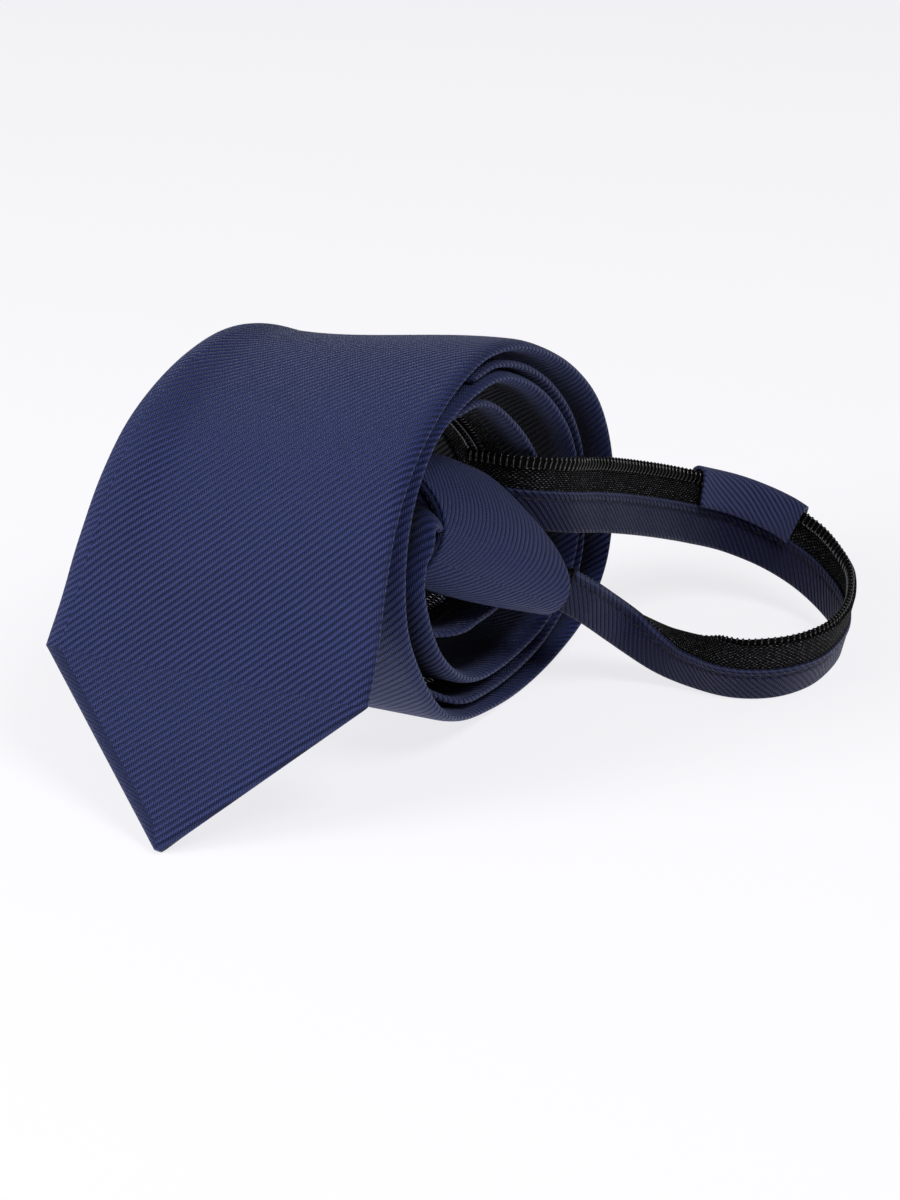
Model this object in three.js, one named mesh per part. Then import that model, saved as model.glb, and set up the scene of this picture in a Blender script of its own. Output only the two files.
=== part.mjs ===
// Zipper tie rolled around its knot, lying on a flat surface. Millimetres, +Z up.
// X runs along the axis of the roll towards the neck loop, Y runs backwards.
// While building, X = 0 is the right end of the roll and Z = 0 is the floor; the whole
// object is centred over the origin in the last lines.

import * as THREE from "three";
import { mergeVertices } from "three/addons/utils/BufferGeometryUtils.js";

// Rolled blade
const bladeWidth = 70;          // across the two corners of the pointed end
const bladeHemWidth = 20;       // where it leaves the knot
const flare = 1.4;                // how the width grows from the knot to the point
const bladeThickness = 2.6;
const tipLength = 35.5;         // from the two corners to the point
const tipSlope = 0.809;         // radians below the horizontal
const tipShift = 2.6;           // sideways place of the point, towards the loop
const tipBlunt = 1.6;           // width left at the very point
const rollDepth = 94;
const rollHeight = 80;
const rollMiddle = [0.287, 0.375];  // y and z of the winding's middle, shares of those two
const startAngle = 145;         // winding angle in degrees inside the knot
const lastTop = 810;            // the same at the outermost turn's top
const topSag = 4.8;             // how far the upper turns sink at the left end
const sagOver = 50;             // width over which it grows from the right end
const sagRise = 35;             // height over which it grows from the middle
const lipRise = 1.4;            // how far the outermost lip stands up again
const lipOver = 10;
const bedding = 0.9;            // height up to which the underside is pressed flat
const rimDrift = 5;             // how far the rear of each turn slides towards the loop
const driftFrom = 15;           // y where that starts
const driftOver = 60;           // and the depth over which it grows

// Zipped tail wound inside the blade
const tailWidth = 26;
const tailHemSqueeze = 0.25;    // how much narrower it is folded inside the knot
const tailThickness = 1.4;
const tailEdgeInset = 0.6;      // from the rims of the blade
const tailHide = 3.5;           // how far it lies further in on the pointed end's side
const hideFrom = 12;            // y in front of which that starts
const hideOver = 16;            // and the depth over which it grows
const tailBindingWidth = 7.8;
const tailCoilWidth = 4.4;
const tailCoilThickness = 1.8;
const sewnGap = 0.3;            // free play between neighbouring pieces

// Knot
const knotHemHalfWidth = 15;
const knotTopHalfWidth = 18.6;
const knotHemHalfDepth = 10.4;
const knotTopHalfDepth = 8.3;
const knotWall = 1.6;
const hemInset = 3.4;           // how far the strips lie inside the mouth at the hem
const knotHemX = -14.5;
const knotTopX = -1.9;
const knotHemPlace = [0.0064, 0.639];   // y and z of its middle, shares of the roll's depth and height
const knotTopPlace = [0.318, 0.455];
const knotHemAcross = [0.85, -0.33, -0.42];
const knotTopAcross = [0.79, -0.17, -0.585];

// Neck loop
const loopReach = 57;           // from the right rims to the far right of the bend
const loopBeyond = 4;           // how far its far strand passes the back of the roll
const loopRise = 0.8;           // how high its low edge enters the knot, over the knot's middle
const strapBinding = 8.3;
const strapTape = 4.55;
const seamRoom = 0.35;          // room for the seams between binding, tape and coil
const strapCoil = 2.4;
const bindingThickness = 1.6;
const tapeThickness = 0.9;
const coilThickness = 2.2;
const coilInset = 0.5;          // the coil sits on the inner face of the tape

// Keeper sleeve around the coil and the tape
const sleeveWall = 0.9;
const sleeveBevel = 0.55;
const sleeveFoot = 0.1;         // height of its lower edges over the tape's foot
const sleeveFrom = 0.557;       // shares of the loop's length
const sleeveTo = 0.665;

const X = new THREE.Vector3(1, 0, 0);
const Z = new THREE.Vector3(0, 0, 1);

// Middle of the blade's thickness along its right rim, from inside the knot to the corners
// of the point, as if each turn lay outermost: the plies wound over it move it inwards.
// turned is the share of the knot's slant that the blade still has there.
const bladeRows = [
  // y as a share of rollDepth, z of rollHeight, turned
  [-0.052, 0.657, 1], [-0.107, 0.686, 1], [-0.155, 0.725, 0.85], [-0.198, 0.686, 0.45], [-0.219, 0.609, 0.15],
  [-0.223, 0.524, 0.03], [-0.139, 0.28, 0], [0.085, 0.066, 0], [0.44, 0.053, 0], [0.575, 0.122, 0],
  [0.665, 0.232, 0], [0.701, 0.375, 0], [0.689, 0.54, 0], [0.629, 0.7, 0], [0.518, 0.838, 0],
  [0.379, 0.937, 0], [0.227, 0.987, 0], [-0.063, 0.942, 0], [-0.173, 0.853, 0], [-0.241, 0.722, 0],
  [-0.262, 0.566, 0], [-0.24, 0.416, 0], [-0.083, 0.143, 0], [0.045, 0.051, 0], [0.205, 0.003, 0],
  [0.38, -0.007, 0], [0.547, 0.025, 0], [0.682, 0.088, 0], [0.772, 0.207, 0], [0.797, 0.375, 0],
  [0.778, 0.541, 0], [0.716, 0.691, 0], [0.611, 0.811, 0], [0.48, 0.904, 0], [0.341, 0.969, 0],
  [0.202, 0.994, 0], [0.064, 0.978, 0], [-0.064, 0.929, 0], [-0.176, 0.849, 0], [-0.259, 0.734, 0],
  [-0.312, 0.588, 0], [-0.351, 0.444, 0], [-0.396, 0.341, 0],
];

// Middle of the zipped tail along its right edge, in the same way. It is wound inside the
// blade, half a ply further in.
const tailRows = [
  // y as a share of rollDepth, z of rollHeight, turned
  [-0.074, 0.614, 1], [-0.132, 0.641, 1], [-0.174, 0.645, 0.8], [-0.205, 0.601, 0.35], [-0.211, 0.511, 0.08],
  [-0.194, 0.42, 0], [-0.143, 0.332, 0], [-0.059, 0.274, 0], [0.049, 0.234, 0], [0.241, 0.163, 0],
  [0.482, 0.332, 0], [0.544, 0.489, 0], [0.537, 0.633, 0], [0.461, 0.763, 0], [0.242, 0.943, 0],
  [0.129, 0.981, 0], [0.013, 0.969, 0], [-0.096, 0.908, 0], [-0.186, 0.803, 0], [-0.239, 0.664, 0],
  [-0.253, 0.52, 0], [-0.221, 0.382, 0], [-0.162, 0.259, 0], [-0.075, 0.148, 0], [0.04, 0.06, 0],
  [0.195, 0.016, 0], [0.365, 0.017, 0], [0.519, 0.061, 0], [0.634, 0.145, 0], [0.698, 0.262, 0],
  [0.695, 0.541, 0], [0.641, 0.692, 0], [0.536, 0.827, 0], [0.399, 0.929, 0], [0.253, 0.984, 0],
  [0.13, 0.989, 0],
];

// Lower edge of the neck loop's strap from the knot's near corner round to its far one,
// with the outward lean in degrees of the binding, the zipper tape above it and the coil.
// shown is the share of the tape that stands above the binding.
const loopRows = [
  // x as a share of loopReach, y of loopDepth, z of loopHeight, binding, tape and coil lean, shown
  [0.151, 0.322, 0.608, -1, -108, -112, 1], [0.218, 0.373, 0.484, 2, -106, -110, 1],
  [0.309, 0.461, 0.258, 12, -98, -104, 1], [0.435, 0.499, 0.108, 13, -84, -90, 0.9],
  [0.581, 0.51, 0.043, 16, -55, -60, 0.75], [0.728, 0.512, 0.027, 19, -5, -9, 0.7],
  [0.853, 0.545, 0.027, 20, 14, 12, 0.92], [0.933, 0.616, 0.027, 21, 16, 15, 1],
  [0.961, 0.714, 0.027, 18, 15, 15, 1], [0.953, 0.812, 0.04, 13, 12, 12, 1],
  [0.898, 0.89, 0.081, 11, 11, 11, 1], [0.796, 0.945, 0.134, 13, 12, 12, 1],
  [0.67, 0.982, 0.204, 16, 15, 15, 1], [0.533, 0.992, 0.28, 17, 17, 17, 1],
  [0.396, 0.959, 0.376, 16, 16, 16, 1], [0.302, 0.878, 0.484, 14, 14, 14, 1],
  [0.225, 0.735, 0.645, 12, 12, 12, 1], [0.168, 0.576, 0.806, 12, 10, 10, 1],
  [0.104, 0.439, 0.925, 10, 5, 5, 1], [-0.018, 0.366, 0.992, 4, 2, 2, 1],
  [-0.221, 0.363, 1, 2, 1, 1, 1],
];

function vec(a) {
  return new THREE.Vector3(a[0], a[1], a[2]);
}

function smooth(t) {
  const k = Math.min(1, Math.max(0, t));
  return k * k * (3 - 2 * k);
}

// How finely the pieces are faceted
const bladeSteps = 116;
const bladeDivisions = 5;
const tailSteps = 78;
const loopSteps = 52;
const knotSides = 26;

// A smooth line through table rows: point(share), tangent(share) and its length, with
// value(column, share) easing from row to row and flow(column, share) curving through them
function rail(points, columns) {
  const curve = new THREE.CatmullRomCurve3(points, false, "centripetal");
  curve.arcLengthDivisions = 600;
  curve.updateArcLengths();
  const total = curve.getLength();
  return {
    length: total,
    point: (share) => curve.getPointAt(share),
    tangent: (share) => curve.getTangentAt(share),
    value: (column, share) => {
      const at = curve.getUtoTmapping(share) * (points.length - 1);
      const i = Math.min(points.length - 2, Math.floor(at));
      const k = smooth(at - i);
      return columns[column][i] * (1 - k) + columns[column][i + 1] * k;
    },
    flow: (column, share) => {
      const at = curve.getUtoTmapping(share) * (points.length - 1);
      const i = Math.min(points.length - 2, Math.floor(at));
      const row = (n) => columns[column][Math.min(points.length - 1, Math.max(0, n))];
      const k = at - i;
      const rise = (row(i + 1) - row(i - 1)) / 2;
      const fall = (row(i + 2) - row(i)) / 2;
      const step = row(i + 1) - row(i);
      return row(i) + k * (rise + k * (3 * step - 2 * rise - fall + k * (rise + fall - 2 * step)));
    },
  };
}

// A closed solid from rings of equal length, given as arrays of points, with flat ends
function skin(rings, flat) {
  const count = rings[0].length;
  const position = [];
  const index = [];
  for (const ring of rings) {
    for (const p of ring) position.push(p.x, p.y, p.z);
  }
  for (let i = 0; i < rings.length - 1; i++) {
    for (let j = 0; j < count; j++) {
      const a = i * count + j;
      const b = i * count + ((j + 1) % count);
      index.push(a, b, b + count, a, b + count, a + count);
    }
  }
  const last = (rings.length - 1) * count;
  for (const [a, b, c] of THREE.ShapeUtils.triangulateShape(flat, [])) {
    index.push(a, c, b);
    index.push(last + a, last + b, last + c);
  }
  return outward(position, index);
}

// A tube: outer and inner rings joined by a rim at each end
function tube(outer, inner) {
  const count = outer[0].length;
  const position = [];
  const index = [];
  const rows = [...outer, ...inner.slice().reverse()];
  for (const ring of rows) {
    for (const p of ring) position.push(p.x, p.y, p.z);
  }
  for (let i = 0; i < rows.length; i++) {
    const next = (i + 1) % rows.length;
    for (let j = 0; j < count; j++) {
      const k = (j + 1) % count;
      const a = i * count + j;
      const b = i * count + k;
      const c = next * count + k;
      const d = next * count + j;
      index.push(a, b, c, a, c, d);
    }
  }
  return outward(position, index);
}

function outward(position, index) {
  let six = 0;
  for (let i = 0; i < index.length; i += 3) {
    const [a, b, c] = [0, 1, 2].map((k) => {
      const v = index[i + k] * 3;
      return new THREE.Vector3(position[v], position[v + 1], position[v + 2]);
    });
    six += a.dot(b.cross(c));
  }
  const order = six > 0 ? index : index.map((v, i) => index[i % 3 ? i + (i % 3 === 1 ? 1 : -1) : i]);
  const solid = new THREE.BufferGeometry();
  solid.setAttribute("position", new THREE.Float32BufferAttribute(position, 3));
  solid.setIndex(order);
  solid.computeVertexNormals();
  return solid;
}

// Section of a soft strip: a rounded bar, width across and thickness through
function barSection(width, thickness, across = 8) {
  const points = [];
  const r = Math.min(thickness, width) / 2;
  const flat = width / 2 - 0.7 * r;
  for (let i = 0; i <= across; i++) points.push([-flat + (2 * flat * i) / across, -thickness / 2]);
  points.push([width / 2, 0]);
  for (let i = across; i >= 0; i--) points.push([-flat + (2 * flat * i) / across, thickness / 2]);
  points.push([-width / 2, 0]);
  return points;
}

function flatShape(section) {
  return section.map(([u, v]) => new THREE.Vector2(u, v));
}

// The right rim of a strip wound from inside the knot outwards. Each turn that is still to
// come moves it one ply towards the middle, and within adds part of a ply.
function windingRail(rows, within) {
  const ply = bladeThickness + tailCoilThickness + 4 * sewnGap;
  let angle = startAngle;
  const points = rows.map(([y, z]) => {
    const base = new THREE.Vector3(0, y * rollDepth, z * rollHeight);
    const away = base.clone().sub(middle).normalize();
    const here = THREE.MathUtils.radToDeg(Math.atan2(away.z, away.y));
    angle = here + 360 * Math.round((angle - here) / 360);
    const plies = Math.max(0, (lastTop - angle) / 360) + within;
    base.addScaledVector(away, -ply * plies);
    base.x = rimDrift * Math.pow(Math.max(0, (base.y - driftFrom) / driftOver), 1.5);
    return base;
  });
  return rail(points, { turned: rows.map((row) => row[2]) });
}

const across = vec(knotHemAcross).normalize();
const middle = new THREE.Vector3(0, rollMiddle[0] * rollDepth, rollMiddle[1] * rollHeight);

// The left end of the roll is empty inside, so the upper part sinks towards the middle,
// and the underside is pressed flat by the floor
function settled(p) {
  const sag = smooth(-p.x / sagOver) * topSag - smooth((-p.x - sagOver) / lipOver) * lipRise;
  const amount = sag * smooth((p.z - middle.z) / sagRise);
  const away = new THREE.Vector3(0, p.y - middle.y, p.z - middle.z).normalize();
  p.addScaledVector(away, -amount);
  p.z = Math.max(p.z, bedding);
  return p;
}

// Rings of a strip wound along a rail. strip(share, y) tells width, thickness, right edge
// inset and lift, all measured from the rail, which follows the right edge.
function woundRings(line, steps, strip, sideCount) {
  const rings = [];
  let first = null;
  for (let i = 0; i <= steps; i++) {
    const share = i / steps;
    const turned = line.value("turned", share);
    const { width, thickness, inset, lift } = strip(line.point(share).y, turned);
    const side = X.clone().lerp(across, turned).normalize();
    const normal = new THREE.Vector3().crossVectors(side, line.tangent(share)).normalize();
    const heart = line.point(share).addScaledVector(side, -inset - width / 2 - hemInset * turned);
    heart.addScaledVector(normal, lift);
    const section = barSection(width, thickness, sideCount);
    first = first ?? section;
    rings.push(section.map(([u, v]) =>
      settled(heart.clone().addScaledVector(side, u).addScaledVector(normal, v))));
  }
  return skin(rings, flatShape(first));
}

// The blade, its point cut at the end of the rail
const bladeLine = windingRail(bladeRows, 0);

function bladeSolid() {
  const steps = bladeSteps;
  const rings = [];
  const flat = bladeLine.length;
  for (let i = 0; i <= steps; i++) {
    const share = i / steps;
    const width = bladeHemWidth + (bladeWidth - bladeHemWidth) * Math.pow(share, flare);
    const turned = bladeLine.value("turned", share);
    const side = X.clone().lerp(across, turned).normalize();
    const normal = new THREE.Vector3().crossVectors(side, bladeLine.tangent(share)).normalize();
    const middle = bladeLine.point(share).addScaledVector(side, -width / 2 - hemInset * turned);
    rings.push({ middle, side, normal, width });
  }
  const end = rings[rings.length - 1];
  const reach = new THREE.Vector3(0, -Math.cos(tipSlope), -Math.sin(tipSlope));
  const tipSteps = 6;
  for (let i = 1; i <= tipSteps; i++) {
    const k = i / tipSteps;
    const width = bladeWidth * (1 - k) + tipBlunt * k;
    const middle = end.middle.clone().addScaledVector(reach, tipLength * k).addScaledVector(X, tipShift * k);
    const normal = new THREE.Vector3().crossVectors(X, reach).normalize();
    rings.push({ middle, side: X, normal, width });
  }
  const made = rings.map(({ middle, side, normal, width }) =>
    barSection(width, Math.min(bladeThickness, width), bladeDivisions).map(([u, v]) =>
      settled(middle.clone().addScaledVector(side, u).addScaledVector(normal, v))));
  return { solid: skin(made, flatShape(barSection(bladeHemWidth, bladeThickness, bladeDivisions))), flat };
}

const tailLine = windingRail(tailRows, 0.5);
const tailTapeWidth = (tailWidth - 2 * tailBindingWidth - tailCoilWidth - 4 * sewnGap) / 2;

function tailStrip(inset, width, thickness, lift = 0) {
  return woundRings(tailLine, tailSteps, (y, turned) => {
    const squeeze = 1 - tailHemSqueeze * turned;
    const hide = tailEdgeInset + tailHide * smooth((hideFrom - y) / hideOver);
    return { width: width * squeeze, thickness, inset: inset * squeeze + hide, lift };
  }, 1);
}

const loopDepth = rollDepth + loopBeyond;
const loopHeight = knotTopPlace[1] * rollHeight + loopRise;
const knotHem = new THREE.Vector3(knotHemX, knotHemPlace[0] * rollDepth, knotHemPlace[1] * rollHeight);
const knotTop = new THREE.Vector3(knotTopX, knotTopPlace[0] * rollDepth, knotTopPlace[1] * rollHeight);

// Knot: a tapered oval tube open at both ends
function knotRing(share, shrink) {
  const bulge = Math.sin(Math.PI * share);
  const halfWidth = knotHemHalfWidth + (knotTopHalfWidth - knotHemHalfWidth) * share + 0.6 * bulge - shrink;
  const halfDepth = knotHemHalfDepth + (knotTopHalfDepth - knotHemHalfDepth) * share + 1.4 * bulge - shrink;
  const heart = knotHem.clone().lerp(knotTop, share);
  const wide = vec(knotHemAcross).lerp(vec(knotTopAcross), share).normalize();
  const deep = new THREE.Vector3().crossVectors(knotTop.clone().sub(knotHem), wide).normalize();
  const ring = [];
  for (let i = 0; i < knotSides; i++) {
    const a = (2 * Math.PI * i) / knotSides;
    const c = Math.cos(a);
    const s = Math.sin(a);
    ring.push(heart.clone()
      .addScaledVector(wide, Math.sign(c) * Math.pow(Math.abs(c), 0.8) * halfWidth)
      .addScaledVector(deep, Math.sign(s) * Math.pow(Math.abs(s), 0.8) * halfDepth));
  }
  return ring;
}

function knotSolid() {
  const outer = [];
  const inner = [];
  const steps = 10;
  for (let i = 0; i <= steps; i++) {
    outer.push(knotRing(i / steps, 0));
    inner.push(knotRing(i / steps, knotWall));
  }
  return tube(outer, inner);
}

// Neck loop
const loopLine = rail(loopRows.map(([x, y, z]) => new THREE.Vector3(x * loopReach, y * loopDepth, z * loopHeight)), {
  binding: loopRows.map((row) => row[3]),
  tape: loopRows.map((row) => row[4]),
  coil: loopRows.map((row) => row[5]),
  shown: loopRows.map((row) => row[6]),
});

// The strap's own frame: foot of the binding, its rising direction, and the tape's
function loopFrame(share) {
  const tangent = loopLine.tangent(share);
  const out = new THREE.Vector3().crossVectors(tangent, Z).normalize();
  const up = new THREE.Vector3().crossVectors(out, tangent).normalize();
  const rise = (degrees) => {
    const t = (degrees * Math.PI) / 180;
    return out.clone().multiplyScalar(Math.sin(t)).addScaledVector(up, Math.cos(t));
  };
  const bend = (one, other) => Math.abs(Math.sin(((one - other) * Math.PI) / 180));
  const lean = ["binding", "tape", "coil"].map((column) => loopLine.flow(column, share));
  const [lower, upper, crest] = lean.map(rise);
  const foot = loopLine.point(share);
  const skip = sewnGap + seamRoom + (bindingThickness / 2) * bend(lean[0], lean[1]);
  const tapeFoot = foot.clone().addScaledVector(lower, strapBinding).addScaledVector(upper, skip);
  const rest = sewnGap + (tapeThickness / 2) * bend(lean[1], lean[2]);
  const tape = strapTape * loopLine.flow("shown", share);
  const coilFoot = tapeFoot.clone().addScaledVector(upper, tape).addScaledVector(crest, rest);
  return { tangent, foot, tapeFoot, coilFoot, lower, upper, crest, tape };
}

function strapBar(place, thickness) {
  const rings = [];
  let first = null;
  for (let i = 0; i <= loopSteps; i++) {
    const { start, rise, face, push, width } = place(i / loopSteps);
    const section = barSection(width, thickness, 1);
    first = first ?? section;
    const middle = start.clone().addScaledVector(rise, width / 2).addScaledVector(face, push);
    rings.push(section.map(([u, v]) => middle.clone().addScaledVector(rise, u).addScaledVector(face, v)));
  }
  return skin(rings, flatShape(first));
}

function strapPlace(start, rise, push, wide) {
  return (share) => {
    const f = loopFrame(share);
    const width = wide ?? f.tape;
    const face = new THREE.Vector3().crossVectors(f.tangent, f[rise]).normalize();
    return { start: f[start].clone(), rise: f[rise], face, push, width };
  };
}

// Sleeve: an upturned channel over the coil and the tape
function sleeveSolid() {
  const inside = coilThickness / 2 + 1.5 * sewnGap;
  const outside = inside + sleeveWall;
  const low = sleeveFoot;
  const roof = strapTape + 2 * sewnGap + strapCoil;
  const top = roof + sleeveWall;
  const section = [
    [low, -outside], [top - sleeveBevel, -outside], [top, -outside + sleeveBevel],
    [top, outside - sleeveBevel], [top - sleeveBevel, outside],
    [low, outside], [low, inside], [roof, inside], [roof, -inside], [low, -inside],
  ];
  const rings = [];
  const steps = 12;
  for (let i = 0; i <= steps; i++) {
    const share = sleeveFrom + ((sleeveTo - sleeveFrom) * i) / steps;
    const { start, rise, face } = strapPlace("tapeFoot", "upper", 0)(share);
    rings.push(section.map(([u, v]) => start.clone().addScaledVector(rise, u).addScaledVector(face, v - coilInset)));
  }
  return skin(rings, flatShape(section));
}

const colours = { navy: "#232a55", black: "#121214" };

function piece(name, geometry, colour, roughness) {
  const merged = mergeVertices(geometry);
  const material = new THREE.MeshStandardMaterial({ color: colour, roughness, metalness: 0 });
  material.name = name + "_cloth";
  const mesh = new THREE.Mesh(merged, material);
  mesh.name = name;
  return mesh;
}

const tie = new THREE.Group();
tie.name = "zipper_tie";
const tapeInset = tailBindingWidth + sewnGap;
const coilStart = tapeInset + tailTapeWidth + sewnGap;
const farTape = coilStart + tailCoilWidth + sewnGap;
const farBinding = farTape + tailTapeWidth + sewnGap;
tie.add(piece("blade", bladeSolid().solid, colours.navy, 0.6));
tie.add(piece("knot", knotSolid(), colours.navy, 0.6));
tie.add(piece("tail_binding_right", tailStrip(0, tailBindingWidth, tailThickness), colours.navy, 0.6));
tie.add(piece("tail_tape_right", tailStrip(tapeInset, tailTapeWidth, tapeThickness), colours.black, 0.8));
tie.add(piece("tail_coil", tailStrip(coilStart, tailCoilWidth, tailCoilThickness), colours.black, 0.4));
tie.add(piece("tail_tape_left", tailStrip(farTape, tailTapeWidth, tapeThickness), colours.black, 0.8));
tie.add(piece("tail_binding_left", tailStrip(farBinding, tailBindingWidth, tailThickness), colours.navy, 0.6));
const lowerPlace = strapPlace("foot", "lower", 0, strapBinding);
const tapePlace = strapPlace("tapeFoot", "upper", 0);
const coilPlace = strapPlace("coilFoot", "crest", -coilInset, strapCoil);
tie.add(piece("loop_binding",
  strapBar(lowerPlace, bindingThickness), colours.navy, 0.6));
tie.add(piece("loop_tape",
  strapBar(tapePlace, tapeThickness), colours.black, 0.8));
tie.add(piece("loop_coil",
  strapBar(coilPlace, coilThickness), colours.black, 0.4));
tie.add(piece("keeper_sleeve", sleeveSolid(), colours.navy, 0.6));

// Centred over the origin, resting on the floor
const box = new THREE.Box3().setFromObject(tie, true);
const centre = box.getCenter(new THREE.Vector3());
for (const mesh of tie.children) mesh.geometry.translate(-centre.x, -centre.y, -box.min.z);

export default tie;
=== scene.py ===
# %% [markdown]
# # A zipper tie, rolled up around its own knot
# This lesson dresses a plain solid model of a ready-tied necktie in cloth, zipper teeth and
# thread. The tie lies on a pale floor: its wide blade is wound round the knot, and the zipped
# neck loop stands out on the right. Lengths are metres, Z is up, and the roll's axis is X.

# %% Load the solid model
import math

import bmesh
import bpy
import numpy as np
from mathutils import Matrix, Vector


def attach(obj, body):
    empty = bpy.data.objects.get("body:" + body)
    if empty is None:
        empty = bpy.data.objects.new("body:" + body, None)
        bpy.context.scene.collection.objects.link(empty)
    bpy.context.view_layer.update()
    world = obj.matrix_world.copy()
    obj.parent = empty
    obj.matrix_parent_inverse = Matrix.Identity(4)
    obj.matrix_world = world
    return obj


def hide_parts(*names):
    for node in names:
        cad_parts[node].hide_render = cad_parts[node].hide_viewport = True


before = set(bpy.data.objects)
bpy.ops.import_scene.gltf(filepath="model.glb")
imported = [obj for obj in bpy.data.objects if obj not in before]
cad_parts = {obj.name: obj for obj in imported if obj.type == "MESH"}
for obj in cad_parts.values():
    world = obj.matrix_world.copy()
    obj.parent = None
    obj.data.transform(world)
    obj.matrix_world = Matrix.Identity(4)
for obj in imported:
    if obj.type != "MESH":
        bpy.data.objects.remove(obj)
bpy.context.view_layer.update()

MM = 0.001

# %% [markdown]
# ## Camera
# The camera stands in front of the roll, a little to the right of it and above it, the way one
# looks down at a table. A long lens keeps the roll's far end almost as large as its near one.
# `ROLL_ORIGIN` is the place of the roll's right end, on the floor under the winding's front.

# %% Camera
ROLL_ORIGIN = np.array([5.107, -21.278, -0.9]) * MM
CAMERA_AZIMUTH = math.radians(24.6)
CAMERA_ELEVATION = math.radians(23.1)
LOOK_HEIGHT = 34.9
CAMERA_TARGET = ROLL_ORIGIN + np.array([0.0, 0.0, LOOK_HEIGHT]) * MM
CAMERA_DISTANCE = 687.3 * MM
PICTURE_SIZE = (900, 1200)
FILM_HEIGHT = 36.0
FILM_WIDTH = FILM_HEIGHT * PICTURE_SIZE[0] / PICTURE_SIZE[1]
LENS = 105.0

camera_data = bpy.data.cameras.new("camera")
camera_data.sensor_fit = "VERTICAL"
camera_data.sensor_height = FILM_HEIGHT
camera_data.sensor_width = FILM_WIDTH
camera_data.lens = LENS
camera = bpy.data.objects.new("camera", camera_data)
bpy.context.scene.collection.objects.link(camera)
back = Vector(
    (
        math.sin(CAMERA_AZIMUTH) * math.cos(CAMERA_ELEVATION),
        -math.cos(CAMERA_AZIMUTH) * math.cos(CAMERA_ELEVATION),
        math.sin(CAMERA_ELEVATION),
    )
)
camera.location = Vector(CAMERA_TARGET) + back * CAMERA_DISTANCE
camera.rotation_euler = back.to_track_quat("Z", "Y").to_euler()
bpy.context.scene.camera = camera
print("camera at", tuple(round(x, 3) for x in camera.location))

# %% [markdown]
# ## Sizes
# The same sizes as the solid model, in millimetres and degrees, so that each dressed piece lies
# where its solid does. Angles count up along the winding, a full turn being 360.

# %% Sizes of the roll
# Blade
BLADE_WIDTH = 70.0
BLADE_HEM_WIDTH = 20.0
FLARE = 1.4
BLADE_THICKNESS = 2.6
TIP_LENGTH = 35.5
TIP_SHIFT = 2.6
TIP_SLOPE = 0.809
TIP_BLUNT = 1.6
# Winding, and how its upper turns sink and its underside beds down
ROLL_DEPTH = 94.0
ROLL_HEIGHT = 80.0
ROLL_MIDDLE = (0.287, 0.375)
START_ANGLE = 145.0
LAST_TOP = 810.0
TOP_SAG = 4.8
SAG_OVER = 50.0
SAG_RISE = 35.0
LIP_RISE = 1.4
LIP_OVER = 10.0
BEDDING = 0.9
RIM_DRIFT = 5.0
DRIFT_FROM = 15.0
DRIFT_OVER = 60.0
HEM_INSET = 3.4
# Zipped tail
TAIL_WIDTH = 26.0
TAIL_HEM_SQUEEZE = 0.25
TAIL_THICKNESS = 1.4
TAIL_EDGE_INSET = 0.6
TAIL_HIDE = 3.5
HIDE_FROM = 12.0
HIDE_OVER = 16.0
TAIL_BINDING_WIDTH = 7.8
TAIL_COIL_WIDTH = 4.4
TAIL_COIL_THICKNESS = 1.8
SEWN_GAP = 0.3

# Right rim of the blade and of the tail: shares of the roll's depth and height, and the share
# of the knot's slant that the cloth still has there
BLADE_ROWS = [
    (-0.052, 0.657, 1), (-0.107, 0.686, 1), (-0.155, 0.725, 0.85), (-0.198, 0.686, 0.45),
    (-0.219, 0.609, 0.15), (-0.223, 0.524, 0.03), (-0.139, 0.28, 0), (0.085, 0.066, 0),
    (0.44, 0.053, 0), (0.575, 0.122, 0), (0.665, 0.232, 0), (0.701, 0.375, 0), (0.689, 0.54, 0),
    (0.629, 0.7, 0), (0.518, 0.838, 0), (0.379, 0.937, 0), (0.227, 0.987, 0), (-0.063, 0.942, 0),
    (-0.173, 0.853, 0), (-0.241, 0.722, 0), (-0.262, 0.566, 0), (-0.24, 0.416, 0),
    (-0.083, 0.143, 0), (0.045, 0.051, 0), (0.205, 0.003, 0), (0.38, -0.007, 0),
    (0.547, 0.025, 0), (0.682, 0.088, 0), (0.772, 0.207, 0), (0.797, 0.375, 0), (0.778, 0.541, 0),
    (0.716, 0.691, 0), (0.611, 0.811, 0), (0.48, 0.904, 0), (0.341, 0.969, 0), (0.202, 0.994, 0),
    (0.064, 0.978, 0), (-0.064, 0.929, 0), (-0.176, 0.849, 0), (-0.259, 0.734, 0),
    (-0.312, 0.588, 0), (-0.351, 0.444, 0), (-0.396, 0.341, 0),
]
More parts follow.
